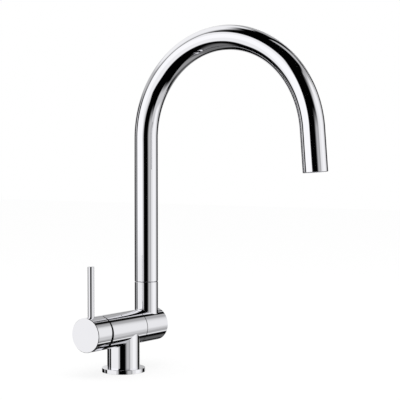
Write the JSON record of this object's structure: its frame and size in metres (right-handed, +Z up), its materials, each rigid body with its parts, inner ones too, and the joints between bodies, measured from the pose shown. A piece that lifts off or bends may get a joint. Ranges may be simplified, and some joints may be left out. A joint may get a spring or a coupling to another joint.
{
  "type": "kitchen tap",
  "caption": "Chrome kitchen tap with a lying barrel, side lever, high arched swivel spout, and separate ways for mixed and filtered water.",
  "frame": {"origin": "middle of the flange's underside, on the deck, over the tap hole", "axes": "+Z up; X along the lying barrel with the lever at -X; the spout reaches out to -Y"},
  "size_m": [0.1346, 0.269, 0.3981],
  "materials": {
    "chrome": "polished bright chrome plate",
    "brass": "turned, bare",
    "steel": "bright drawn stainless",
    "rubber": "matt black",
    "ceramic": "lapped white ceramic",
    "white_plastic": "moulded, natural white",
    "dark_plastic": "moulded, dark grey",
    "grey_plastic": "moulded, light grey"
  },
  "bodies": {
    "tap_body": {"base_flange": "chrome", "base_gasket": "rubber", "inlet_block": "brass", "main_body": "chrome", "spout_foot": "chrome", "coupling_sleeve": "brass", "section_seal": "rubber", "filter_feed": "brass", "cartridge_housing": "white_plastic", "cartridge_base": "white_plastic", "cartridge_seals": "rubber", "fixed_disc": "ceramic", "cartridge_nut": "brass", "dome_ring": "chrome", "spout_stop_screw": "steel", "filter_nipple": "brass", "filter_valve_housing": "brass", "filter_valve_seal": "rubber", "filter_fixed_disc": "ceramic"},
    "mixer_turn": {"cartridge_carrier": "white_plastic", "stem_pivot": "steel"},
    "mixer_disc": {"sliding_disc": "ceramic"},
    "handle": {"cartridge_stem": "brass", "handle_cap": "chrome", "lever_rod": "chrome", "cap_grub_screw": "steel", "screw_plug": "dark_plastic"},
    "spout": {"spout_tube": "chrome", "spout_sleeve": "white_plastic", "spout_o_rings": "rubber", "glide_rings": "dark_plastic", "swivel_washer": "dark_plastic", "filter_tube": "white_plastic", "tube_spacer": "white_plastic", "outlet_adapter": "brass", "aerator_cup": "grey_plastic", "jet_plate": "grey_plastic", "aerator_gauze": "steel", "filter_nozzle": "grey_plastic"},
    "filter_control": {"filter_knob": "chrome", "filter_spindle": "brass", "filter_turning_disc": "ceramic", "knob_grub_screw": "steel"}
  },
  "joints": [
    {"name": "handle_turn", "type": "hinge", "parent": "tap_body", "child": "mixer_turn", "pos_m": [-0.036, 0, 0.0495], "axis": [1, 0, 0], "range_deg": [-45, 45]},
    {"name": "handle_tilt", "type": "hinge", "parent": "mixer_turn", "child": "handle", "pos_m": [-0.036, 0, 0.0495], "axis": [0, -1, 0], "range_deg": [0, 12]},
    {"name": "disc_slide", "type": "slide", "parent": "mixer_turn", "child": "mixer_disc", "axis": [0, 0, 1], "range_m": [0, 0.0023]},
    {"name": "spout_swivel", "type": "hinge", "parent": "tap_body", "child": "spout", "pos_m": [0.0441, 0, 0.1014], "axis": [0, 0, 1], "range_deg": [-90, 90]},
    {"name": "filter_knob_turn", "type": "hinge", "parent": "tap_body", "child": "filter_control", "pos_m": [0.0608, 0, 0.0495], "axis": [1, 0, 0], "range_deg": [0, 90]}
  ],
  "couplings": [
    {"joint": "disc_slide", "follows": "handle_tilt", "m_per_rad": 0.01085}
  ]
}
